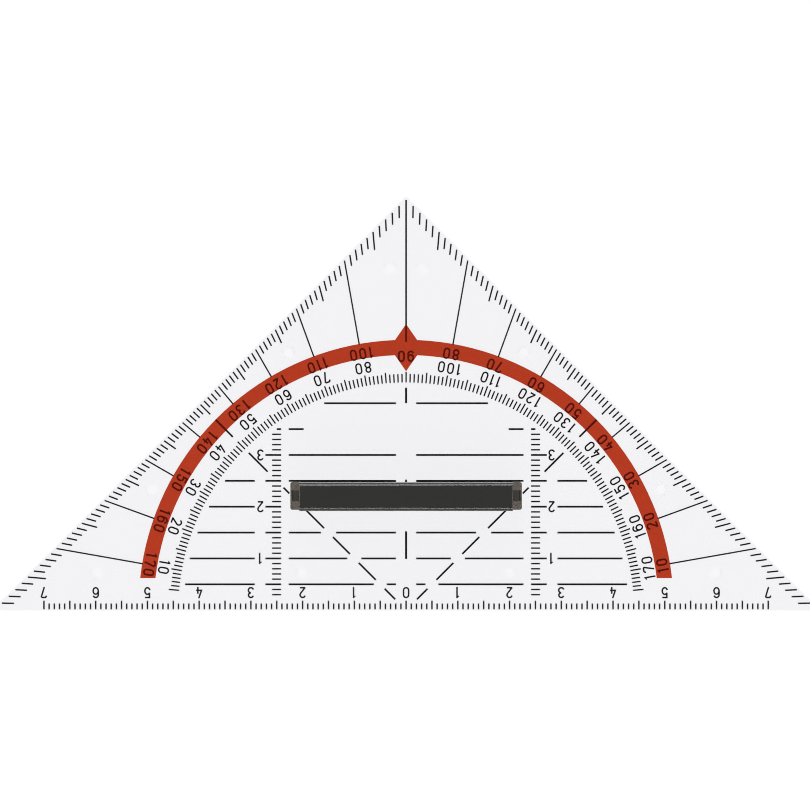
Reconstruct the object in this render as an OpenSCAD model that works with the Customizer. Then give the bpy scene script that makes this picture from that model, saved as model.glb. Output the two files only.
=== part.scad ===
// Geometry triangle: a clear plate printed on its underside, with a plug-in grip bar.
// X runs along the ruling edge, Y towards the right-angled corner, Z up through the plate.
// The origin is the zero mark, on the ruling edge and in the plane of the underside.

/* [Plate] */
// Length of the ruling edge, the long side
edge_len = 160; // [150:1:200]
// Thickness of the clear plate
plate_t = 2; // [1.6:0.1:3]

/* [Nubs] */
// Radius of each low nub under the plate
nub_r = 1.35; // [1:0.05:1.5]
// Radius of the flat tip that a nub stands on
nub_tip_r = 0.85; // [0.5:0.05:1]
// Height of the nubs, which holds the print off the paper
nub_h = 0.4; // [0.2:0.05:0.6]
// Height of the two inner low nubs above the ruling edge
nub_low_y = 7.1; // [6.8:0.1:7.6]
// Distance of the inner low nubs in from the height scales
nub_scale_gap = 4.05; // [3:0.05:6]
// Depth of the outer low nubs inside the leg
nub_outer_depth = 9.2; // [8.8:0.1:10]
// Angle from the zero mark to the outer low nubs
nub_outer_angle = 6.8; // [6.5:0.1:7.2]
// Depth of the leg nubs inside the leg
nub_leg_depth = 5.3; // [4.6:0.1:5.6]
// Angle from the zero mark to the lower leg nubs
nub_lower_angle = 25.3; // [23:0.1:27]
// Angle from the zero mark to the upper leg nubs
nub_upper_angle = 65.4; // [63:0.1:67]
// Distance of the two top nubs from the centre line
nub_top_x = 3.1; // [2.5:0.1:4]
// Depth of the two top nubs inside the leg
nub_top_depth = 7.6; // [6:0.1:9]

/* [Grip] */
// Overall length of the grip with its end steps
grip_len = 44.6; // [42:0.1:46]
// Width of the end steps
step_w = 5.35; // [4.5:0.05:6]
// Height of the end steps above the plate
step_h = 2.2; // [1.5:0.1:3]
// Radius of the end steps' upright corners
step_corner_r = 0.4; // [0.2:0.05:0.8]
// Length of the tall bar between the steps
bar_len = 40.9; // [38:0.1:42]
// Width of the tall bar
bar_w = 5.5; // [4.8:0.1:6]
// Distance that the tall bar sits off the middle of the steps, towards the ruling edge
bar_shift = 0.05; // [0:0.05:0.3]
// Height of the tall bar above the plate
bar_h = 9; // [7:0.5:12]
// Rounding along the tall bar's upper edges
bar_round = 0.95; // [0.4:0.05:1.5]
// Rounding of the tall bar's upper edges at its ends
bar_end_round = 0.4; // [0.2:0.1:1]
// Height of the grip's middle line above the ruling edge
grip_y = 22.15; // [22:0.05:22.8]
// Length of each foot along the grip
foot_len = 2.2; // [1.5:0.1:2.4]
// Width of each foot across the grip
foot_w = 2.1; // [1.6:0.1:3]
// Distance from a foot's outer face to the grip's end
foot_inset = 0.2; // [0.1:0.1:1]
// Lead-in bevel at the tip of each foot
foot_bevel = 0.3; // [0.1:0.1:0.5]
// Height of the feet's tips above the underside
foot_lift = 0.5; // [0:0.1:0.8]
// Clearance between a foot and its slot on each side
foot_gap = 0.05; // [0.03:0.01:0.1]

/* [Ink] */
// Thickness of each layer of ink
ink_t = 0.04; // [0.02:0.01:0.06]
// Width of the guide lines and the height scales' 5 mm ticks
line_w = 0.36; // [0.2:0.01:0.4]
// Width of the long centre line
long_line_w = 0.33; // [0.2:0.01:0.4]
// Width of the centre line's short dashes
dash_w = 0.4; // [0.2:0.01:0.45]
// Width of the ten-degree rays
ray_w = 0.28; // [0.15:0.01:0.35]

/* [Numerals] */
// Height of every numeral
digit_h = 2.2; // [1.8:0.05:2.3]
// Width of every numeral
digit_w = 1.3; // [1:0.05:1.5]
// Width of the numerals' strokes
digit_stroke = 0.31; // [0.18:0.01:0.36]
// Distance from one digit of a number to the next
digit_pitch = 1.8; // [1.6:0.05:2]
// Distance from a 1 to the next digit of its number
one_pitch = 1.5; // [1.2:0.05:1.8]
// Distance from a 1 to another 1 beside it
ones_pitch = 1.25; // [1:0.05:1.5]

/* [Ruling edge scale] */
// Gap between the ruling edge and its ticks
edge_gap = 0.15; // [0:0.05:0.4]
// Length of a millimetre tick
mm_tick = 1.15; // [0.8:0.05:1.4]
// Length of a 5 mm or 10 mm tick
cm_tick = 1.7; // [1.5:0.05:1.9]
// Width of the ruling edge ticks
edge_tick_w = 0.3; // [0.15:0.01:0.4]
// Gap between the 10 mm ticks and their numerals
edge_digit_gap = 0.45; // [0.2:0.05:0.7]

/* [Leg degree scale] */
// Gap between a leg and its degree ticks
leg_gap = 0.35; // [0.2:0.05:0.6]
// Depth inside the leg that a one-degree tick reaches
leg_tick_depth = 2.05; // [1.4:0.05:2.3]
// Depth inside the leg that a five-degree tick reaches
leg_long_depth = 3.05; // [2.5:0.05:3.4]
// Width of the leg ticks
leg_tick_w = 0.3; // [0.2:0.01:0.35]
// Distance of the centre line's end from the right-angled corner
apex_gap = 0.7; // [0.4:0.1:3]

/* [Protractor] */
// Distance from the leg's middle in to the red band
band_to_leg = 4.85; // [4.2:0.01:5.5]
// Width of the red band
band_w = 2.95; // [2.7:0.05:3.2]
// Height of the band's centre above the zero mark
band_rise = 0.55; // [0:0.05:1]
// Height of the band's cut ends above the ruling edge
band_foot = 6.2; // [5.6:0.1:8]
// Half width of the diamond that marks 90 degrees
diamond_half_w = 2.22; // [2:0.02:2.6]
// Reach of the diamond's outer point beyond the band
diamond_out = 3.05; // [1.8:0.05:3.2]
// Reach of the diamond's inner point inside the band
diamond_in = 3.15; // [2.8:0.05:3.3]
// Gap between the band's outer edge and its numerals
band_digit_gap = 0.35; // [0.25:0.05:0.5]
// Distance that the number 90 sits further in than the other numbers
ninety_drop = 1.2; // [1:0.1:1.6]
// Gap between the long centre line and the number 90
ninety_gap = 1.7; // [1.2:0.1:2.2]
// Gap between the band's inner edge and the numerals inside it
inner_digit_gap = 0.15; // [0.1:0.05:0.5]
// Gap between the inner numerals and the arc's degree ticks
arc_gap = 0.35; // [0.2:0.05:0.6]
// Length of a one-degree tick on the arc
arc_tick = 1.65; // [1.2:0.05:2]
// Length of a five-degree tick on the arc
arc_long_tick = 2.05; // [1.8:0.05:2.3]
// Width of the arc's ticks
arc_tick_w = 0.28; // [0.12:0.01:0.35]
// First and last degree on the arc, counted from the ruling edge
arc_first = 5; // [4:1:9]
// Clear ring between the arc's ticks and the lines inside it
arc_clear = 1; // [0.6:0.05:1.5]

/* [Guide lines] */
// Gap on each side of the centre line
centre_gap = 1.95; // [1.4:0.05:2.2]
// Half of the gap where a parallel line meets a diagonal, before its growth
cross_gap = 1.13; // [0.9:0.01:1.3]
// Growth of that half gap from each parallel line to the next
cross_growth = 0.11; // [0:0.01:0.15]
// Half of the gap where a diagonal meets a parallel line
diagonal_gap = 0.85; // [0.7:0.05:1]
// Height on the diagonals where their first dash starts
diagonal_start = 2.1; // [2:0.05:2.4]
// Reach of the 45 degree marks inside the band
diagonal_mark_in = 1.8; // [1.2:0.1:2.4]
// Inner end of the short lines above the grip
short_line_x = 19.8; // [18:0.1:21]
// Inner end of the centre line's dash under the arc
top_dash_y = 40; // [38:0.1:41]
// Lower end of the centre line's lowest dash
low_dash_y = 9.9; // [8:0.1:12]
// Reach of the centre line's lower dashes past the parallel lines
centre_over = 0.25; // [0:0.05:0.4]

/* [Height scales] */
// Distance of the height scales from the centre line
height_x = 24.15; // [24:0.05:25]
// Length of a millimetre tick on the height scales
height_tick = 1.75; // [1.2:0.05:2]
// Length of a 5 mm tick on the height scales
height_long_tick = 3.05; // [2.4:0.05:3.1]
// Width of the height scales' millimetre ticks
height_tick_w = 0.29; // [0.2:0.01:0.4]
// First millimetre on the height scales
height_first = 3; // [3:1:5]
// Last millimetre on the height scales
height_last = 35; // [33:1:36]
// Gap between the 5 mm ticks and the numerals beside them
height_digit_gap = 0.3; // [0.15:0.05:0.5]
// Gap between the parallel lines and the height scales
height_clear = 1.45; // [0.8:0.05:2]
// Gap that lines keep from the height scales' ticks and numerals
side_clear = 0.45; // [0.3:0.05:0.8]
// Gap between a slot and the diagonal dashes beside it
slot_clear = 0.4; // [0.25:0.05:0.5]

/* [Hidden] */
$fn = 48;
black = [0.06, 0.06, 0.07];
red = [0.72, 0.23, 0.12];
smoke = [0.25, 0.24, 0.22, 0.9];
clear_plastic = [0.93, 0.95, 0.97, 0.5];
half = edge_len / 2;
leg_reach = half / sqrt(2);
nub_flare = (nub_r - nub_tip_r) / nub_h;
nub_root = plate_t / 4;
foot_x = grip_len / 2 - foot_inset - foot_len / 2;
scale_cm = floor(half / 10 - 1);
band_r_out = leg_reach - band_to_leg;
band_r_in = band_r_out - band_w;
band_digit_r = band_r_out - band_digit_gap;
ninety_r = band_digit_r - ninety_drop;
inner_digit_r = band_r_in - inner_digit_gap;
arc_r_out = inner_digit_r - digit_h - arc_gap;
arc_r_in = arc_r_out - arc_long_tick;
clear_r = arc_r_in - arc_clear;
block_x = height_x - height_clear;
height_digit_x = height_x + height_long_tick + height_digit_gap + digit_w / 2;
height_digit_out = height_digit_x + digit_w / 2;
height_cm = floor(min(height_last, clear_x(height_digit_out) - digit_h / 2) / 10);
outer_x = height_digit_out + side_clear;
slot_reach = foot_len / 2 + foot_gap + slot_clear;
line_step = 5;
cross_rows = 4;
outer_rows = 5;
top_row = 8;
short_row = 7;
ray_overlap = 0.1;
least_line = 0.3;
least_dash = 1.5;
arc_step = 22.5;
glyph_a = (digit_w - digit_stroke) / 2;
glyph_h = digit_h - digit_stroke;
one_flag = 0.95 * glyph_a;

// Points along part of an ellipse
function arc_points(x, y, rx, ry, from, to) =
    let (n = ceil(abs(to - from) / arc_step))
    [for (i = [0 : n]) let (t = from + (to - from) * i / n) [x + rx * cos(t), y + ry * sin(t)]];

// Unit vector to the left of the way from p to q
function left_of(p, q) = let (d = q - p) [-d[1], d[0]] / norm(d);

// Offset to the left of point i of a path, so that a stroke keeps its width at the corners
function side_step(path, i) =
    let (
        last = len(path) - 1,
        before = left_of(path[max(i - 1, 0)], path[max(i, 1)]),
        after = left_of(path[min(i, last - 1)], path[min(i + 1, last)])
    )
    (before + after) / (1 + before * after);

// Half width at height y, or height at half width y, of the space inside the arc's ticks
function clear_x(y) = y < clear_r ? sqrt(clear_r * clear_r - y * y) : 0;

// Distance from the zero mark to a circle about the band's centre, along one angle
function band_edge(angle, r) = band_rise * sin(angle) + sqrt(pow(r, 2) - pow(band_rise * cos(angle), 2));

// Distance from the zero mark to a line inside the legs, along one angle
function leg_edge(angle, depth) = (half - depth * sqrt(2)) / (abs(cos(angle)) + sin(angle));

module black_ink() {
    color(black) translate([0, 0, -ink_t]) linear_extrude(ink_t) children();
}

module stroke(path) {
    w = digit_stroke / 2;
    last = len(path) - 1;
    polygon(concat(
        [for (i = [0 : last]) path[i] - w * side_step(path, i)],
        [for (i = [last : -1 : 0]) path[i] + w * side_step(path, i)]
    ));
}

// A closed loop of stroke: an oval, drawn out by rise into a shape with straight sides
module loop_stroke(y, rx, ry, rise = 0) {
    w = digit_stroke / 2;
    difference() {
        polygon(concat(
            arc_points(0, y + rise, rx + w, ry + w, 0, 180),
            arc_points(0, y, rx + w, ry + w, 180, 360)
        ));
        polygon(concat(
            arc_points(0, y + rise, rx - w, ry - w, 0, 180),
            arc_points(0, y, rx - w, ry - w, 180, 360)
        ));
    }
}

module digit_0() {
    loop_stroke(glyph_a, glyph_a, glyph_a, glyph_h - 2 * glyph_a);
}

module digit_1() {
    w = digit_stroke / 2;
    top = glyph_h + w;
    polygon([
        [-w, -w],
        [w, -w],
        [w, top],
        [-0.2 * w, top],
        [-one_flag, top - 0.85 * one_flag],
        [-0.9 * one_flag, top - 1.05 * one_flag],
        [-w, top - one_flag]
    ]);
}

module digit_2() {
    y = glyph_h - glyph_a;
    stroke(concat(arc_points(0, y, glyph_a, glyph_a, 165, -30), [[-0.92 * glyph_a, 0]]));
    stroke([[-1.1 * glyph_a, 0], [1.05 * glyph_a, 0]]);
}

module digit_3() {
    low = 0.26 * glyph_h;
    high = glyph_h / 2 - low;
    mid = 2 * low;
    lap = digit_stroke / 9;
    upper = arc_points(0, mid + high, 0.95 * glyph_a, high, 165, -65);
    lower = arc_points(0, low, glyph_a, low, 70, -165);
    stroke(concat(upper, [[0, mid + lap]]));
    stroke(concat([[0, mid - lap]], lower));
}

module digit_4() {
    bar = 0.27 * glyph_h;
    x = 0.5 * glyph_a;
    stroke([[0.15 * glyph_a, glyph_h + digit_stroke / 2], [-0.9 * glyph_a, bar], [1.2 * glyph_a, bar]]);
    stroke([[x, 0.62 * glyph_h], [x, -digit_stroke / 2]]);
}

module digit_5() {
    bowl = 0.34 * glyph_h;
    x = -0.8 * glyph_a;
    stroke([[glyph_a, glyph_h], [x, glyph_h], [x, 0.5 * glyph_h]]);
    stroke(arc_points(0, bowl, glyph_a, bowl, 145, -165));
}

module digit_6() {
    bowl = 0.33 * glyph_h;
    loop_stroke(bowl, glyph_a, bowl);
    stroke(concat([[-glyph_a, bowl]], arc_points(0, glyph_h - glyph_a, glyph_a, glyph_a, 180, 15)));
}

module digit_7() {
    hook = [[-glyph_a, 0.8 * glyph_h], [-0.8 * glyph_a, 0.94 * glyph_h], [-0.5 * glyph_a, glyph_h]];
    bend = [[0.7 * glyph_a, glyph_h], [glyph_a, 0.92 * glyph_h]];
    stroke(concat(hook, bend, [[-0.15 * glyph_a, -digit_stroke / 2]]));
}

module digit_8() {
    low = 0.26 * glyph_h;
    high = glyph_h / 2 - low;
    loop_stroke(2 * low + high, 0.9 * glyph_a, high);
    loop_stroke(low, glyph_a, low);
}

module digit_9() {
    translate([0, glyph_h]) rotate(180) digit_6();
}

module digit(value) {
    translate([0, digit_stroke / 2]) {
        if (value == 0) digit_0();
        if (value == 1) digit_1();
        if (value == 2) digit_2();
        if (value == 3) digit_3();
        if (value == 4) digit_4();
        if (value == 5) digit_5();
        if (value == 6) digit_6();
        if (value == 7) digit_7();
        if (value == 8) digit_8();
        if (value == 9) digit_9();
    }
}

// The digits of a whole number, first digit first
function digits_of(value) = value < 10 ? [value] : concat(digits_of(floor(value / 10)), [value % 10]);

// Distance from a digit to the one after it
function pitch(value, next) = value != 1 ? digit_pitch : next == 1 ? ones_pitch : one_pitch;

// Place of digit i of a number, counted from the middle of its first digit
function digit_x(digits, i) = i == 0 ? 0 : digit_x(digits, i - 1) + pitch(digits[i - 1], digits[i]);

// Half width that a digit counts for when its number is centred
function half_width(value) = value == 1 ? 0.75 * digit_stroke : digit_w / 2;

// A number with its middle at X 0 and its foot at Y 0; a lone 1 is centred by its flag and stem
module number(value) {
    digits = digits_of(value);
    last = len(digits) - 1;
    whole = digit_x(digits, last) + half_width(digits[last]) - half_width(digits[0]);
    middle = value == 1 ? (digit_stroke / 2 - one_flag) / 2 : whole / 2;
    for (i = [0 : last]) translate([digit_x(digits, i) - middle, 0]) digit(digits[i]);
}

// A number on the protractor, with its foot outwards
module number_at(angle, r, value) {
    rotate(angle - 90) translate([0, r]) rotate(180) number(value);
}

// A line along one angle from the zero mark, between two radii
module ray(angle, from, to, w) {
    rotate(angle) translate([from, -w / 2]) square([to - from, w]);
}

// A pair of level lines, one on each side of the centre line
module level_pair(y, from, to, w) {
    if (to > from + least_dash) {
        translate([from, y - w / 2]) square([to - from, w]);
        translate([-to, y - w / 2]) square([to - from, w]);
    }
}

// A pair of dashes on the two diagonals, between two heights
module diagonal_pair(from, to) {
    if (to > from + least_line) {
        for (angle = [45, 135]) ray(angle, from * sqrt(2), to * sqrt(2), line_w);
    }
}

// An upright dash on the centre line
module upright(from, to, w) {
    translate([-w / 2, from]) square([w, to - from]);
}

// One nub: a low cone with a flat tip, rooted in the plate
module nub(x, y) {
    translate([x, y, -nub_h]) {
        cylinder(h = nub_h + nub_root, r1 = nub_tip_r, r2 = nub_r + nub_flare * nub_root);
    }
}

// A nub at an angle from the zero mark and a depth inside the leg
module leg_nub(side, angle, depth) {
    r = leg_edge(angle, depth);
    nub(side * r * cos(angle), r * sin(angle));
}

module nubs() {
    for (side = [-1, 1]) {
        nub(side * (height_x - nub_scale_gap), nub_low_y);
        leg_nub(side, nub_outer_angle, nub_outer_depth);
        leg_nub(side, nub_lower_angle, nub_leg_depth);
        leg_nub(side, nub_upper_angle, nub_leg_depth);
        nub(side * nub_top_x, half - nub_top_x - nub_top_depth * sqrt(2));
    }
}

module plate() {
    slot = [foot_len + 2 * foot_gap, foot_w + 2 * foot_gap, 3 * plate_t];
    color(clear_plastic) difference() {
        union() {
            linear_extrude(plate_t) polygon([[-half, 0], [half, 0], [0, half]]);
            nubs();
        }
        for (side = [-1, 1]) translate([side * foot_x, grip_y, 0]) cube(slot, center = true);
    }
}

// Outline of a bar seen from its end, flat below and with rounded upper edges
module rounded_top(w, h, r) {
    translate([-w / 2, 0]) square([w, h - r]);
    translate([r - w / 2, 0]) square([w - 2 * r, h]);
    for (side = [-1, 1]) translate([side * (w / 2 - r), h - r]) circle(r);
}

// A rectangle with four round corners
module rounded_rectangle(l, w, r) {
    square([l - 2 * r, w], center = true);
    square([l, w - 2 * r], center = true);
    for (x = [-1, 1], y = [-1, 1]) translate([x * (l / 2 - r), y * (w / 2 - r)]) circle(r);
}

module tall_bar() {
    intersection() {
        translate([-bar_len / 2, 0, 0]) rotate([90, 0, 90]) {
            linear_extrude(bar_len) rounded_top(bar_w, bar_h, bar_round);
        }
        translate([0, bar_w / 2, 0]) rotate([90, 0, 0]) {
            linear_extrude(bar_w) rounded_top(bar_len, bar_h, bar_end_round);
        }
    }
}

// A foot, which hangs from the end step down through the plate's slot
module foot() {
    x = foot_len / 2;
    top = step_h / 2;
    tip = foot_lift - plate_t;
    translate([0, foot_w / 2, 0]) rotate([90, 0, 0]) linear_extrude(foot_w) {
        polygon([
            [-x, top],
            [-x, tip + foot_bevel],
            [foot_bevel - x, tip],
            [x - foot_bevel, tip],
            [x, tip + foot_bevel],
            [x, top]
        ]);
    }
}

module grip() {
    color(smoke) translate([0, grip_y, plate_t]) {
        linear_extrude(step_h) rounded_rectangle(grip_len, step_w, step_corner_r);
        translate([0, -bar_shift, 0]) tall_bar();
        for (side = [-1, 1]) translate([side * foot_x, 0, 0]) foot();
    }
}

module edge_ticks() {
    black_ink() for (mm = [-10 * scale_cm : 10 * scale_cm]) {
        translate([mm - edge_tick_w / 2, edge_gap]) square([edge_tick_w, mm % 5 == 0 ? cm_tick : mm_tick]);
    }
}

module edge_numerals() {
    foot_y = edge_gap + cm_tick + edge_digit_gap + digit_h;
    black_ink() for (cm = [-scale_cm : scale_cm]) {
        translate([10 * cm, foot_y]) rotate(180) number(abs(cm));
    }
}

module leg_degree_ticks() {
    black_ink() for (angle = [1 : 179]) {
        depth = angle % 5 == 0 ? leg_long_depth : leg_tick_depth;
        if (angle % 10 != 0) ray(angle, leg_edge(angle, depth), leg_edge(angle, leg_gap), leg_tick_w);
    }
}

module ten_degree_rays() {
    black_ink() for (angle = [10 : 10 : 170]) {
        inner = band_edge(angle, band_r_out) - ray_overlap;
        if (angle != 90) ray(angle, inner, leg_edge(angle, leg_gap), ray_w);
    }
}

// The red layer lies behind the black one
module protractor_band() {
    x = diamond_half_w;
    out_y = band_rise + sqrt(pow(band_r_out, 2) - x * x) - ray_overlap;
    in_y = band_rise + sqrt(pow(band_r_in, 2) - x * x) + ray_overlap;
    color(red) translate([0, 0, -2 * ink_t]) linear_extrude(ink_t) {
        difference() {
            translate([0, band_rise]) circle(band_r_out, $fn = 180);
            translate([0, band_rise]) circle(band_r_in, $fn = 180);
            translate([-half, -half]) square([edge_len, half + band_foot]);
        }
        polygon([
            [0, band_rise + band_r_out + diamond_out],
            [-x, out_y],
            [-x, in_y],
            [0, band_rise + band_r_in - diamond_in],
            [x, in_y],
            [x, out_y]
        ]);
    }
}

module band_numerals() {
    black_ink() for (angle = [10 : 10 : 170]) {
        number_at(angle, angle == 90 ? ninety_r : band_digit_r, angle);
    }
}

module inner_numerals() {
    black_ink() for (angle = [10 : 10 : 170]) {
        if (angle != 90) number_at(angle, inner_digit_r, 180 - angle);
    }
}

module arc_degree_ticks() {
    black_ink() for (angle = [arc_first : 180 - arc_first]) {
        ray(angle, arc_r_in, arc_r_in + (angle % 5 == 0 ? arc_long_tick : arc_tick), arc_tick_w);
    }
}

module height_ticks(side) {
    black_ink() for (y = [height_first : height_last]) {
        w = y % 5 == 0 ? line_w : height_tick_w;
        reach = height_x + (y % 5 == 0 ? height_long_tick : height_tick);
        end = min(reach, clear_x(y));
        if (end > height_x + least_line) {
            translate([side > 0 ? height_x : -end, y - w / 2]) square([end - height_x, w]);
        }
    }
}

module height_ticks_left() {
    height_ticks(-1);
}

module height_ticks_right() {
    height_ticks(1);
}

module height_numerals() {
    black_ink() for (side = [-1, 1], cm = [1 : height_cm]) {
        translate([side * height_digit_x, 10 * cm + digit_h / 2]) rotate(180) number(cm);
    }
}

module parallel_lines() {
    black_ink() {
        for (row = [1 : cross_rows]) {
            y = row * line_step;
            gap = cross_gap + row * cross_growth;
            level_pair(y, centre_gap, y - gap, line_w);
            level_pair(y, y + gap, block_x, line_w);
        }
        for (row = [cross_rows + 1 : short_row - 1]) {
            level_pair(row * line_step, centre_gap, block_x, line_w);
        }
        level_pair(short_row * line_step, short_line_x, block_x, line_w);
        level_pair(top_row * line_step, centre_gap, clear_x(top_row * line_step), line_w);
        for (row = [1 : outer_rows]) {
            level_pair(row * line_step, outer_x, clear_x(row * line_step), line_w);
        }
    }
}

module diagonal_lines() {
    mark_out = band_edge(45, band_r_out) / sqrt(2);
    mark_in = (band_edge(45, band_r_in) - diagonal_mark_in) / sqrt(2);
    black_ink() {
        diagonal_pair(diagonal_start, line_step - diagonal_gap);
        for (row = [1 : cross_rows - 2]) {
            diagonal_pair(row * line_step + diagonal_gap, (row + 1) * line_step - diagonal_gap);
        }
        diagonal_pair((cross_rows - 1) * line_step + diagonal_gap, foot_x - slot_reach);
        diagonal_pair(foot_x + slot_reach, height_x - side_clear);
        diagonal_pair(height_x + height_tick + diagonal_gap, clear_r / sqrt(2));
        diagonal_pair(mark_in, mark_out);
    }
}

module centre_line() {
    black_ink() {
        upright(low_dash_y, 3 * line_step + centre_over, dash_w);
        upright(cross_rows * line_step, (cross_rows + 1) * line_step + centre_over, dash_w);
        upright(top_dash_y, clear_r, dash_w);
        upright(ninety_r + ninety_gap, half - apex_gap, long_line_w);
    }
}

plate();
grip();
edge_ticks();
edge_numerals();
leg_degree_ticks();
ten_degree_rays();
protractor_band();
band_numerals();
inner_numerals();
arc_degree_ticks();
height_ticks_left();
height_ticks_right();
height_numerals();
parallel_lines();
diagonal_lines();
centre_line();
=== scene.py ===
"""Looks of a clear geometry triangle: a plate printed on its underside, with a smoke-tinted grip."""

import math
from collections import namedtuple

import bmesh
import bpy
from bpy.props import FloatProperty, FloatVectorProperty, IntProperty, PointerProperty
from bpy.types import Operator, Panel, PropertyGroup
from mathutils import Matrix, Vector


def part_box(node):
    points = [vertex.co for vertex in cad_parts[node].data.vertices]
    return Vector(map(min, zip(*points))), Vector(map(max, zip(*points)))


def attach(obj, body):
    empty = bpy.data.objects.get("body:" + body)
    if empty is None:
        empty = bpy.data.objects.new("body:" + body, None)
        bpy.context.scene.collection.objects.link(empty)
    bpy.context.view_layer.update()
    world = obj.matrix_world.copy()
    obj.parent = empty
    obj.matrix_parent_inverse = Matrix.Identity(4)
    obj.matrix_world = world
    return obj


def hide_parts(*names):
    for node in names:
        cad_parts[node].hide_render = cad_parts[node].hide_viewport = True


bl_info = {
    "name": "Geometry Triangle",
    "version": (1, 0, 0),
    "blender": (4, 5, 0),
    "location": "View3D > Sidebar > Triangle",
    "description": "Dresses a clear printed geometry triangle with its smoke-tinted grip",
    "category": "Object",
}

MM = 0.001

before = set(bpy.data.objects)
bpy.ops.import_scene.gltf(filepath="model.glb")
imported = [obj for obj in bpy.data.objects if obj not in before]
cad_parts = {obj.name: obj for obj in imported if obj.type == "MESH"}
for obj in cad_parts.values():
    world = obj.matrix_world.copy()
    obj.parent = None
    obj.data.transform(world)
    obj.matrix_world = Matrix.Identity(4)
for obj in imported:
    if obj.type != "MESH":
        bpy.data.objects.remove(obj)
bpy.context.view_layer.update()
plate_low, plate_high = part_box("plate")

BLACK_PRINT_NODES = (
    "edge_ticks",
    "edge_numerals",
    "leg_degree_ticks",
    "ten_degree_rays",
    "band_numerals",
    "inner_numerals",
    "arc_degree_ticks",
    "height_ticks_left",
    "height_ticks_right",
    "height_numerals",
    "parallel_lines",
    "diagonal_lines",
    "centre_line",
)

# The red band in the CAD part: its centre's height, its radii, its cut ends and its diamond
BAND_RISE = 0.55 * MM
BAND_OUTER = 51.72 * MM
BAND_INNER = 48.77 * MM
BAND_FOOT = 6.2 * MM
DIAMOND_HALF_WIDTH = 2.22 * MM
DIAMOND_OUT = 3.05 * MM
DIAMOND_IN = 3.15 * MM

# Mesh clean-up: corners this near are one, faces this level are one, and a seat's corners lie this near its height
SAME_POINT = 0.0005 * MM
SAME_PLANE = math.radians(0.4)
SEAT_REACH = 0.001 * MM

# Edges: from which angle one gets rounded, how, and from which angle one shows as a crease
SHARP_ANGLE = math.radians(50)
ROUNDING_SEGMENTS = 2
ROUNDING_PROFILE = 0.5
CREASE_ANGLE = math.radians(24)
ROUNDING_CREASE_ANGLE = math.radians(50)

# Scuffs: the noise value that they follow, how long they are drawn out, and the patches that they are deeper in
NOISE_MIDDLE = 0.5
SCUFF_RATIO = 0.03
SCUFF_PATCH_SCALE = 45.0
SCUFF_PATCH_LOW = -1.2
SCUFF_PATCH_HIGH = 1.8

# Smoke plastic: its surface colour, the share of light that enters it, and what it lets through to the paper
SMOKE_SURFACE = (1.0, 1.0, 0.93)
SMOKE_CLARITY = 0.964
SMOKE_LAMP_TINT = (0.92, 0.92, 0.92)

# Ink: how far the colour strays down and up where the cover is uneven, and how fine and coarse patterns share in it
INK_THIN = 0.86
INK_THICK = 1.14
INK_LIFT = 0.002
FINE_SHARE = 0.6
COARSE_SHARE = 0.4

# Room that gloss and glass see: how steeply a direction points up where the ceiling starts, and where it is full
CEILING_START = 0.25
CEILING_FULL = 0.75

# Stage: the floor, the camera over the middle of the picture, and the lamps with their widths and lengths
WHITE = (1.0, 1.0, 1.0)
FLOOR_RADIUS = 6.0
FLOOR_GLOW = 1.06
CAMERA_PLACE = (-0.211 * MM, 39.66 * MM)
SENSOR_WIDTH = 36.0
NEAREST_SEEN = 0.01
KEY_PLACE = (0.0, 1.084, 0.718)
KEY_SIZE = (0.307, 1.353)
FILL_PLACE = (0.0, -1.038, 0.782)
FILL_SIZE = (0.819, 0.505)

# Sockets of a Mix node that mixes colours
MIX_FACTOR, MIX_FIRST, MIX_SECOND, MIX_RESULT = 0, 6, 7, 2

# One pattern that shapes a surface: its value, the depth in metres of a full step, and how strongly it counts
Relief = namedtuple("Relief", "height depth strength")


# Settings


class PlateSettings(PropertyGroup):
    """Finish of the clear plate."""

    tint: FloatVectorProperty(
        name="Tint",
        description="What the clear plastic lets through",
        default=(0.955, 0.955, 0.971),
        size=3,
        min=0,
        max=1,
        subtype="COLOR",
    )
    lamp_tint: FloatVectorProperty(
        name="Lamp tint",
        description="Light that reaches the paper through the plate",
        default=(0.975, 0.975, 0.978),
        size=3,
        min=0,
        max=1,
        subtype="COLOR",
    )
    ior: FloatProperty(
        name="IOR",
        description="How strongly the plastic bends light",
        default=1.49,
        min=1,
        max=2,
    )


class GripSettings(PropertyGroup):
    """Sizes and finish of the smoke-tinted grip."""

    edge_round: FloatProperty(
        name="Edge rounding",
        description="Width of the softened moulded edges",
        default=0.25 * MM,
        min=0,
        subtype="DISTANCE",
        unit="LENGTH",
    )
    seat_gap: FloatProperty(
        name="Seat gap",
        description="Film of air between the grip and the plate",
        default=0.02 * MM,
        min=0,
        subtype="DISTANCE",
        unit="LENGTH",
    )
    smoke: FloatVectorProperty(
        name="Smoke",
        description="Colour that the smoke tint keeps",
        default=(0.14, 0.07, 0.02),
        size=3,
        min=0,
        max=1,
        subtype="COLOR",
    )
    density: FloatProperty(
        name="Smoke density",
        description="How fast the tint darkens with depth, per metre",
        default=1100,
        min=0,
    )
    ior: FloatProperty(
        name="IOR",
        description="How strongly the plastic bends light",
        default=1.49,
        min=1,
        max=2,
    )


class PrintSettings(PropertyGroup):
    """Colours of the two inks."""

    black: FloatVectorProperty(
        name="Black ink",
        description="Colour of the black scales and numerals",
        default=(0.008, 0.008, 0.010),
        size=3,
        min=0,
        max=1,
        subtype="COLOR",
    )
    black_on_red: FloatVectorProperty(
        name="Black on red",
        description="Colour of the black ink where the red band shines through it",
        default=(0.105, 0.0035, 0.001),
        size=3,
        min=0,
        max=1,
        subtype="COLOR",
    )
    red: FloatVectorProperty(
        name="Red ink",
        description="Colour of the protractor band",
        default=(0.565, 0.049, 0.0135),
        size=3,
        min=0,
        max=1,
        subtype="COLOR",
    )


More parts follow.
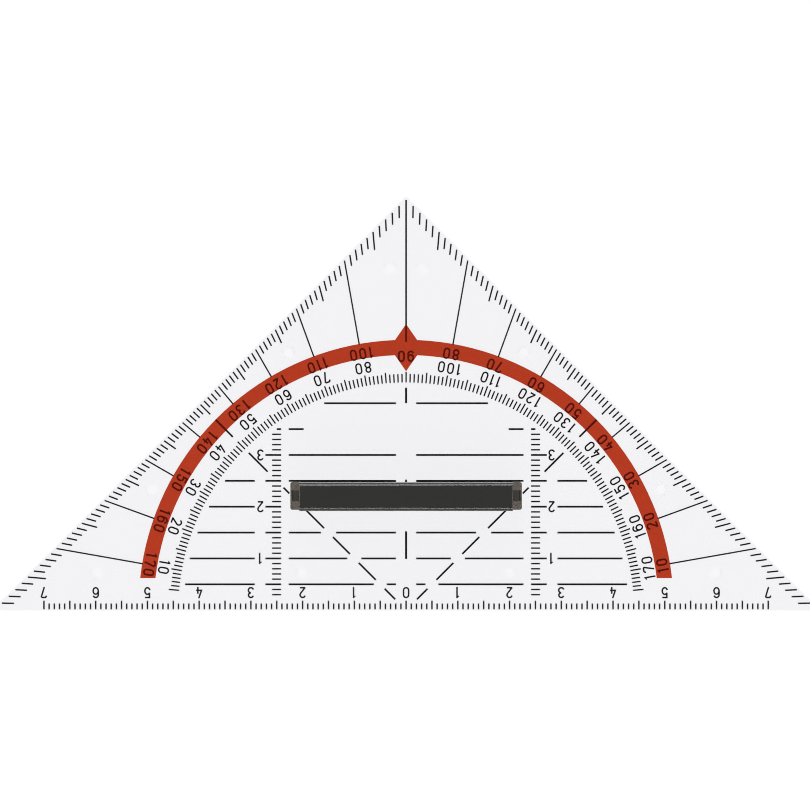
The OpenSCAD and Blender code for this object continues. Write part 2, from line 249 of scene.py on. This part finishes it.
class StageSettings(PropertyGroup):
    """Floor, lamps and camera."""

    camera_height: FloatProperty(
        name="Camera height",
        description="Height of the camera above the print",
        default=1.0,
        min=0.1,
        subtype="DISTANCE",
        unit="LENGTH",
    )
    view_width: FloatProperty(
        name="View width",
        description="Width that the picture covers",
        default=156.67 * MM,
        min=0.01,
        subtype="DISTANCE",
        unit="LENGTH",
    )
    floor_colour: FloatVectorProperty(
        name="Floor",
        description="Colour of the paper floor",
        default=(0.80, 0.80, 0.80),
        size=3,
        min=0,
        max=1,
        subtype="COLOR",
    )
    ambient: FloatProperty(
        name="Ambient",
        description="Strength of the even light from all round",
        default=0.66,
        min=0,
    )
    pixel_filter: FloatProperty(
        name="Pixel filter",
        description="Width that a pixel gathers light over",
        default=1.0,
        min=0.5,
        max=2,
    )
    floor_glow: FloatProperty(
        name="Floor glow",
        description="Share of the seen floor that takes no shadow",
        default=0.88,
        min=0,
        max=1,
    )
    ceiling: FloatProperty(
        name="Ceiling",
        description="How bright gloss sees the ceiling",
        default=0.01,
        min=0,
        max=1,
    )
    room: FloatProperty(
        name="Room",
        description="How bright gloss sees the rest of the room",
        default=0.2,
        min=0,
        max=1,
    )
    key_power: FloatProperty(
        name="Key lamp",
        description="Power of the tall soft lamp behind, in watts",
        default=4.83,
        min=0,
    )
    fill_power: FloatProperty(
        name="Fill lamp",
        description="Power of the long soft lamp in front, in watts",
        default=5.2,
        min=0,
    )
    bounces: IntProperty(
        name="Bounces",
        description="How often light may turn inside the plate on its way along it",
        default=36,
        min=8,
    )
    segments: IntProperty(
        name="Floor segments",
        description="Sides of the round floor",
        default=96,
        min=12,
    )


# Node helpers


def material(name):
    """An empty node material and its tree."""
    made = bpy.data.materials.new(name)
    made.use_nodes = True
    made.node_tree.nodes.clear()
    return made, made.node_tree


def add(tree, kind, **values):
    """A node of a kind, with plain values on its input sockets."""
    node = tree.nodes.new("ShaderNode" + kind)
    for name, value in values.items():
        socket = node.inputs[name.replace("_", " ")]
        socket.default_value = (*value, 1.0) if socket.type == "RGBA" and len(value) == 3 else value
    return node


def link(tree, output, socket):
    """Joins one node's output to another's input."""
    tree.links.new(output, socket)


def calc(tree, operation, first, second=0.0, clamp=False):
    """A Math node on sockets or plain numbers; returns its output."""
    node = tree.nodes.new("ShaderNodeMath")
    node.operation = operation
    node.use_clamp = clamp
    for value, socket in zip((first, second), node.inputs):
        if isinstance(value, (int, float)):
            socket.default_value = value
        else:
            link(tree, value, socket)
    return node.outputs[0]


def mixed_colour(tree, factor, first, second):
    """A Mix node on colour sockets or plain colours; returns its colour."""
    node = tree.nodes.new("ShaderNodeMix")
    node.data_type = "RGBA"
    link(tree, factor, node.inputs[MIX_FACTOR])
    for value, socket in ((first, node.inputs[MIX_FIRST]), (second, node.inputs[MIX_SECOND])):
        if isinstance(value, tuple):
            socket.default_value = (*value, 1.0)
        else:
            link(tree, value, socket)
    return node.outputs[MIX_RESULT]


def mixed_shader(tree, factor, first, second):
    """A Mix Shader node; returns its shader."""
    node = tree.nodes.new("ShaderNodeMixShader")
    for output, socket in zip((factor, first, second), node.inputs):
        link(tree, output, socket)
    return node.outputs[0]


def show(tree, shader, kind="Material", volume=None):
    """Ends a tree with its output node."""
    output = tree.nodes.new("ShaderNodeOutput" + kind)
    link(tree, shader, output.inputs["Surface"])
    if volume is not None:
        link(tree, volume, output.inputs["Volume"])


def place(tree):
    """Coordinates on the object, in metres."""
    return tree.nodes.new("ShaderNodeTexCoord").outputs["Object"]


def noise(tree, where, scale, detail=2.0, roughness=0.5):
    """A noise pattern with a scale per metre; returns its value."""
    node = add(tree, "TexNoise", Scale=scale, Detail=detail, Roughness=roughness)
    link(tree, where, node.inputs["Vector"])
    return node.outputs["Fac"]


def stretched(tree, where, turn, ratio):
    """Coordinates turned about Z and drawn out, for marks that run one way."""
    node = tree.nodes.new("ShaderNodeMapping")
    node.inputs["Rotation"].default_value = (0, 0, turn)
    node.inputs["Scale"].default_value = (1, ratio, 1)
    link(tree, where, node.inputs["Vector"])
    return node.outputs[0]


def spread(tree, value, low, high):
    """A 0 to 1 pattern moved to another range."""
    node = add(tree, "MapRange", To_Min=low, To_Max=high)
    link(tree, value, node.inputs["Value"])
    return node.outputs[0]


def bump(tree, *reliefs):
    """Bump nodes in a row, one for each relief; returns the last one's normal."""
    normal = None
    for relief in reliefs:
        node = add(tree, "Bump", Distance=relief.depth, Strength=relief.strength)
        link(tree, relief.height, node.inputs["Height"])
        if normal is not None:
            link(tree, normal, node.inputs["Normal"])
        normal = node.outputs["Normal"]
    return normal


def scratches(tree, where, turn, count, width):
    """Fine straight scuffs along one direction, deeper in some patches: 0 beside a scuff."""
    lines = noise(tree, stretched(tree, where, turn, SCUFF_RATIO), scale=count, detail=1.0)
    near = calc(tree, "ABSOLUTE", calc(tree, "SUBTRACT", lines, NOISE_MIDDLE))
    line = calc(tree, "SUBTRACT", 1.0, calc(tree, "DIVIDE", near, width), clamp=True)
    patch = noise(tree, where, scale=SCUFF_PATCH_SCALE)
    return calc(tree, "MULTIPLY", line, spread(tree, patch, SCUFF_PATCH_LOW, SCUFF_PATCH_HIGH))


def in_sight(tree):
    """1 for the eye, for gloss and through glass, and 0 for light that a surface has scattered."""
    path = tree.nodes.new("ShaderNodeLightPath")
    sight = calc(tree, "MAXIMUM", path.outputs["Is Camera Ray"], path.outputs["Is Glossy Ray"])
    sight = calc(tree, "MAXIMUM", sight, path.outputs["Is Transmission Ray"])
    # The depth counts whole bounces, so that below a half means none
    unscattered = calc(tree, "LESS_THAN", path.outputs["Diffuse Depth"], 0.5)
    return calc(tree, "MULTIPLY", sight, unscattered)


def let_lamps_through(tree, glass, colour):
    """The glass shader for sight, and plain see-through for lamps and for light off a dull surface."""
    path = tree.nodes.new("ShaderNodeLightPath")
    open_side = add(tree, "BsdfTransparent", Color=colour)
    seen = glass
    for ray in ("Is Diffuse Ray", "Is Shadow Ray"):
        seen = mixed_shader(tree, path.outputs[ray], seen, open_side.outputs[0])
    return seen


# Materials


def clear_plastic(settings):
    """Clear moulded plastic: faint flow waves, fine scuffs and a trace of tint."""
    made, tree = material("clear_moulded_plastic")
    where = place(tree)
    waves = noise(tree, where, scale=70.0, detail=1.0)
    scuffs = scratches(tree, where, turn=0.6, count=260.0, width=0.02)
    shader = add(
        tree,
        "BsdfPrincipled",
        Base_Color=tuple(settings.tint),
        IOR=settings.ior,
        Transmission_Weight=1.0,
    )
    relief = bump(
        tree,
        Relief(waves, depth=0.004 * MM, strength=0.35),
        Relief(scuffs, depth=0.0015 * MM, strength=0.35),
    )
    link(tree, spread(tree, waves, low=0.0, high=0.006), shader.inputs["Roughness"])
    link(tree, relief, shader.inputs["Normal"])
    show(tree, let_lamps_through(tree, shader.outputs[0], tuple(settings.lamp_tint)))
    return made


def smoke_plastic(settings):
    """Smoke-tinted plastic that darkens with depth, polished and lightly handled."""
    made, tree = material("smoke_moulded_plastic")
    where = place(tree)
    smear = noise(tree, where, scale=160.0, detail=3.0)
    scuffs = scratches(tree, where, turn=0.25, count=420.0, width=0.03)
    shader = add(
        tree,
        "BsdfPrincipled",
        Base_Color=SMOKE_SURFACE,
        IOR=settings.ior,
        Transmission_Weight=SMOKE_CLARITY,
    )
    relief = bump(
        tree,
        Relief(smear, depth=0.004 * MM, strength=0.4),
        Relief(scuffs, depth=0.002 * MM, strength=0.4),
    )
    link(tree, spread(tree, smear, low=0.03, high=0.10), shader.inputs["Roughness"])
    link(tree, relief, shader.inputs["Normal"])
    inside = add(tree, "VolumeAbsorption", Color=tuple(settings.smoke), Density=settings.density)
    surface = let_lamps_through(tree, shader.outputs[0], SMOKE_LAMP_TINT)
    show(tree, surface, volume=inside.outputs[0])
    return made


def red_behind(tree, where):
    """1 where the red band or its diamond lies behind the black ink."""
    split = tree.nodes.new("ShaderNodeSeparateXYZ")
    link(tree, where, split.inputs[0])
    x, y = split.outputs[0], split.outputs[1]
    up = calc(tree, "SUBTRACT", y, BAND_RISE)
    square = calc(tree, "ADD", calc(tree, "MULTIPLY", x, x), calc(tree, "MULTIPLY", up, up))
    radius = calc(tree, "SQRT", square)
    in_outer = calc(tree, "LESS_THAN", radius, BAND_OUTER)
    ring = calc(tree, "MULTIPLY", in_outer, calc(tree, "GREATER_THAN", radius, BAND_INNER))
    side = calc(tree, "DIVIDE", calc(tree, "ABSOLUTE", x), DIAMOND_HALF_WIDTH)
    outward = calc(tree, "MAXIMUM", calc(tree, "SUBTRACT", up, BAND_OUTER), 0.0)
    inward = calc(tree, "MAXIMUM", calc(tree, "SUBTRACT", BAND_INNER, up), 0.0)
    above = calc(tree, "DIVIDE", outward, DIAMOND_OUT)
    below = calc(tree, "DIVIDE", inward, DIAMOND_IN)
    diamond = calc(tree, "LESS_THAN", calc(tree, "ADD", side, calc(tree, "ADD", above, below)), 1.0)
    over_foot = calc(tree, "GREATER_THAN", y, BAND_FOOT)
    return calc(tree, "MULTIPLY", calc(tree, "MAXIMUM", ring, diamond), over_foot)


def ink(name, colour, over_red=None):
    """Screen-printed ink, slightly uneven, with a dry sheen. over_red is its colour over the red band."""
    made, tree = material(name)
    where = place(tree)
    cover = noise(tree, where, scale=900.0, detail=3.0, roughness=0.6)
    cloud = noise(tree, where, scale=40.0)
    shader = add(tree, "BsdfPrincipled", IOR=1.45, Specular_IOR_Level=0.1)
    fine = calc(tree, "MULTIPLY", cover, FINE_SHARE)
    coarse = calc(tree, "MULTIPLY", cloud, COARSE_SHARE)
    thin = tuple(c * INK_THIN for c in colour)
    thick = tuple(min(c * INK_THICK + INK_LIFT, 1.0) for c in colour)
    shown = mixed_colour(tree, calc(tree, "ADD", fine, coarse), thin, thick)
    if over_red is not None:
        shown = mixed_colour(tree, red_behind(tree, where), shown, over_red)
    link(tree, shown, shader.inputs["Base Color"])
    link(tree, spread(tree, cover, low=0.42, high=0.62), shader.inputs["Roughness"])
    link(tree, bump(tree, Relief(cover, depth=0.006 * MM, strength=0.5)), shader.inputs["Normal"])
    show(tree, shader.outputs[0])
    return made


def paper_floor(settings):
    """Pale paper that keeps the object's shadow and reads as white to the eye, in gloss and through glass."""
    made, tree = material("pale_floor")
    grain = noise(tree, place(tree), scale=700.0)
    shader = add(tree, "BsdfDiffuse", Color=tuple(settings.floor_colour), Roughness=0.6)
    link(tree, bump(tree, Relief(grain, depth=0.01 * MM, strength=0.1)), shader.inputs["Normal"])
    glow = add(tree, "Emission", Color=WHITE, Strength=FLOOR_GLOW)
    share = calc(tree, "MULTIPLY", in_sight(tree), settings.floor_glow)
    show(tree, mixed_shader(tree, share, shader.outputs[0], glow.outputs[0]))
    return made


# Mesh helpers


def softened(node, name, width=0.0, seat=None):
    """A clean, smooth copy of a CAD node's mesh.

    width rounds its sharp outer edges. seat is a height and how far the faces at that height are lifted.
    """
    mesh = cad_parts[node].data.copy()
    mesh.name = name
    mesh.materials.clear()
    work = bmesh.new()
    work.from_mesh(mesh)
    bmesh.ops.remove_doubles(work, verts=work.verts, dist=SAME_POINT)
    bmesh.ops.dissolve_limit(work, angle_limit=SAME_PLANE, verts=work.verts, edges=work.edges)
    if seat is not None:
        height, lift = seat
        for vertex in work.verts:
            if abs(vertex.co.z - height) < SEAT_REACH:
                vertex.co.z += lift
    strips = set()
    if width > 0:
        sharp = [e for e in work.edges if e.is_manifold and e.is_convex and e.calc_face_angle(0) > SHARP_ANGLE]
        rounding = bmesh.ops.bevel(
            work,
            geom=sharp,
            offset=width,
            offset_type="OFFSET",
            segments=ROUNDING_SEGMENTS,
            profile=ROUNDING_PROFILE,
            affect="EDGES",
            clamp_overlap=True,
        )
        strips = set(rounding["faces"])
    for face in work.faces:
        face.smooth = True
    for edge in work.edges:
        border = sum(face in strips for face in edge.link_faces) == 1
        on_strip = not border and edge.link_faces[0] in strips
        least = ROUNDING_CREASE_ANGLE if on_strip else CREASE_ANGLE
        edge.smooth = not border and edge.calc_face_angle(0) < least
    work.to_mesh(mesh)
    work.free()
    piece = bpy.data.objects.new(name, mesh)
    bpy.context.scene.collection.objects.link(piece)
    return piece


def paint(node, finish):
    """Puts a material on a CAD node that keeps its own shape."""
    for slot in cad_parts[node].material_slots:
        slot.material = finish


# Operators


class TRIANGLE_OT_plate(Operator):
    """Build the clear plate."""

    bl_idname = "triangle.plate"
    bl_label = "Plate"

    def execute(self, context):
        settings = context.scene.triangle_plate
        piece = softened("plate", "clear_plate")
        piece.data.materials.append(clear_plastic(settings))
        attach(piece, "plate")
        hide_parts("plate")
        return {"FINISHED"}


class TRIANGLE_OT_grip(Operator):
    """Build the smoke-tinted grip with softened edges."""

    bl_idname = "triangle.grip"
    bl_label = "Grip"

    def execute(self, context):
        settings = context.scene.triangle_grip
        seat = (plate_high.z, settings.seat_gap)
        piece = softened("grip", "smoke_grip", settings.edge_round, seat)
        piece.data.materials.append(smoke_plastic(settings))
        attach(piece, "grip")
        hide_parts("grip")
        return {"FINISHED"}


class TRIANGLE_OT_black_print(Operator):
    """Ink the black scales, lines and numerals."""

    bl_idname = "triangle.black_print"
    bl_label = "Black print"

    def execute(self, context):
        settings = context.scene.triangle_print
        finish = ink("black_printing_ink", tuple(settings.black), tuple(settings.black_on_red))
        for node in BLACK_PRINT_NODES:
            paint(node, finish)
        return {"FINISHED"}


class TRIANGLE_OT_red_print(Operator):
    """Ink the red protractor band."""

    bl_idname = "triangle.red_print"
    bl_label = "Red band"

    def execute(self, context):
        settings = context.scene.triangle_print
        paint("protractor_band", ink("red_printing_ink", tuple(settings.red)))
        return {"FINISHED"}


class TRIANGLE_OT_stage(Operator):
    """Set up the floor, the soft light and the camera."""

    bl_idname = "triangle.stage"
    bl_label = "Stage"

    def execute(self, context):
        settings = context.scene.triangle_stage
        make_floor(settings)
        make_world(context.scene, settings)
        make_lamps(settings)
        make_camera(context.scene, settings)
        context.scene.view_settings.view_transform = "Standard"
        cycles = context.scene.cycles
        cycles.filter_width = settings.pixel_filter
        cycles.denoising_input_passes = "RGB"
        cycles.max_bounces = cycles.glossy_bounces = cycles.transmission_bounces = settings.bounces
        return {"FINISHED"}


def make_floor(settings):
    """A wide round floor that the nubs stand on."""
    work = bmesh.new()
    bmesh.ops.create_circle(work, cap_ends=True, segments=settings.segments, radius=FLOOR_RADIUS)
    mesh = bpy.data.meshes.new("floor")
    work.to_mesh(mesh)
    work.free()
    mesh.materials.append(paper_floor(settings))
    floor = bpy.data.objects.new("floor", mesh)
    floor.location = (0, 0, plate_low.z)
    bpy.context.scene.collection.objects.link(floor)


def make_world(scene, settings):
    """White to the eye, a dim room to gloss and glass, and a weaker even light on everything."""
    world = bpy.data.worlds.new("even_light")
    world.use_nodes = True
    tree = world.node_tree
    tree.nodes.clear()
    split = tree.nodes.new("ShaderNodeSeparateXYZ")
    link(tree, tree.nodes.new("ShaderNodeTexCoord").outputs["Generated"], split.inputs[0])
    ceiling = add(
        tree,
        "MapRange",
        From_Min=CEILING_START,
        From_Max=CEILING_FULL,
        To_Min=1.0,
        To_Max=settings.ceiling,
    )
    link(tree, split.outputs["Z"], ceiling.inputs["Value"])
    sight = in_sight(tree)
    path = tree.nodes.new("ShaderNodeLightPath")
    dim = spread(tree, path.outputs["Is Reflection Ray"], low=1.0, high=settings.room)
    room = calc(tree, "MULTIPLY", calc(tree, "MULTIPLY", ceiling.outputs[0], sight), dim)
    seen = calc(tree, "MAXIMUM", room, path.outputs["Is Camera Ray"])
    felt = calc(tree, "MULTIPLY", calc(tree, "SUBTRACT", 1.0, sight), settings.ambient)
    shader = add(tree, "Background", Color=WHITE)
    link(tree, calc(tree, "ADD", seen, felt), shader.inputs["Strength"])
    show(tree, shader.outputs[0], kind="World")
    scene.world = world


def make_lamps(settings):
    """Two soft lamps, a tall one behind the triangle and a long low one in front.

    The clear plate is left out of their light, because it would mirror them in low views.
    """
    unlit = bpy.data.collections.new("not_lit_by_lamps")
    unlit.objects.link(bpy.data.objects["clear_plate"])
    unlit.collection_objects[0].light_linking.link_state = "EXCLUDE"
    for name, where, size, power in (
        ("key_lamp", KEY_PLACE, KEY_SIZE, settings.key_power),
        ("fill_lamp", FILL_PLACE, FILL_SIZE, settings.fill_power),
    ):
        lamp = bpy.data.lights.new(name, "AREA")
        lamp.shape = "RECTANGLE"
        lamp.size, lamp.size_y = size
        lamp.energy = power
        holder = bpy.data.objects.new(name, lamp)
        holder.location = where
        aim = -holder.location
        holder.rotation_euler = aim.to_track_quat("-Z", "Y").to_euler()
        holder.visible_camera = False
        holder.light_linking.receiver_collection = unlit
        bpy.context.scene.collection.objects.link(holder)


def make_camera(scene, settings):
    """A long lens straight above the triangle, with the picture cut as in the photograph."""
    lens = bpy.data.cameras.new("camera")
    lens.sensor_width = SENSOR_WIDTH
    lens.lens = SENSOR_WIDTH * settings.camera_height / settings.view_width
    lens.clip_start = NEAREST_SEEN
    camera = bpy.data.objects.new("camera", lens)
    camera.location = (*CAMERA_PLACE, settings.camera_height)
    scene.collection.objects.link(camera)
    scene.camera = camera


# Panel and registration


class TRIANGLE_PT_sidebar(Panel):
    """Lists the triangle's pieces and their settings."""

    bl_label = "Geometry Triangle"
    bl_idname = "TRIANGLE_PT_sidebar"
    bl_space_type = "VIEW_3D"
    bl_region_type = "UI"
    bl_category = "Triangle"

    def draw(self, context):
        for operator in OPERATORS:
            self.layout.operator(operator.bl_idname)
        for name in GROUPS:
            settings = getattr(context.scene, name)
            box = self.layout.box()
            box.label(text=name.split("_")[1].capitalize())
            for prop in settings.__annotations__:
                box.prop(settings, prop)


GROUPS = {
    "triangle_plate": PlateSettings,
    "triangle_grip": GripSettings,
    "triangle_print": PrintSettings,
    "triangle_stage": StageSettings,
}
OPERATORS = (
    TRIANGLE_OT_plate,
    TRIANGLE_OT_grip,
    TRIANGLE_OT_black_print,
    TRIANGLE_OT_red_print,
    TRIANGLE_OT_stage,
)
CLASSES = (*GROUPS.values(), *OPERATORS, TRIANGLE_PT_sidebar)


def register():
    for cls in CLASSES:
        bpy.utils.register_class(cls)
    for name, group in GROUPS.items():
        setattr(bpy.types.Scene, name, PointerProperty(type=group))


def unregister():
    for name in GROUPS:
        delattr(bpy.types.Scene, name)
    for cls in reversed(CLASSES):
        bpy.utils.unregister_class(cls)


def main():
    register()
    bpy.ops.triangle.plate()
    bpy.ops.triangle.grip()
    bpy.ops.triangle.red_print()
    bpy.ops.triangle.black_print()
    bpy.ops.triangle.stage()


if __name__ == "__main__":
    main()
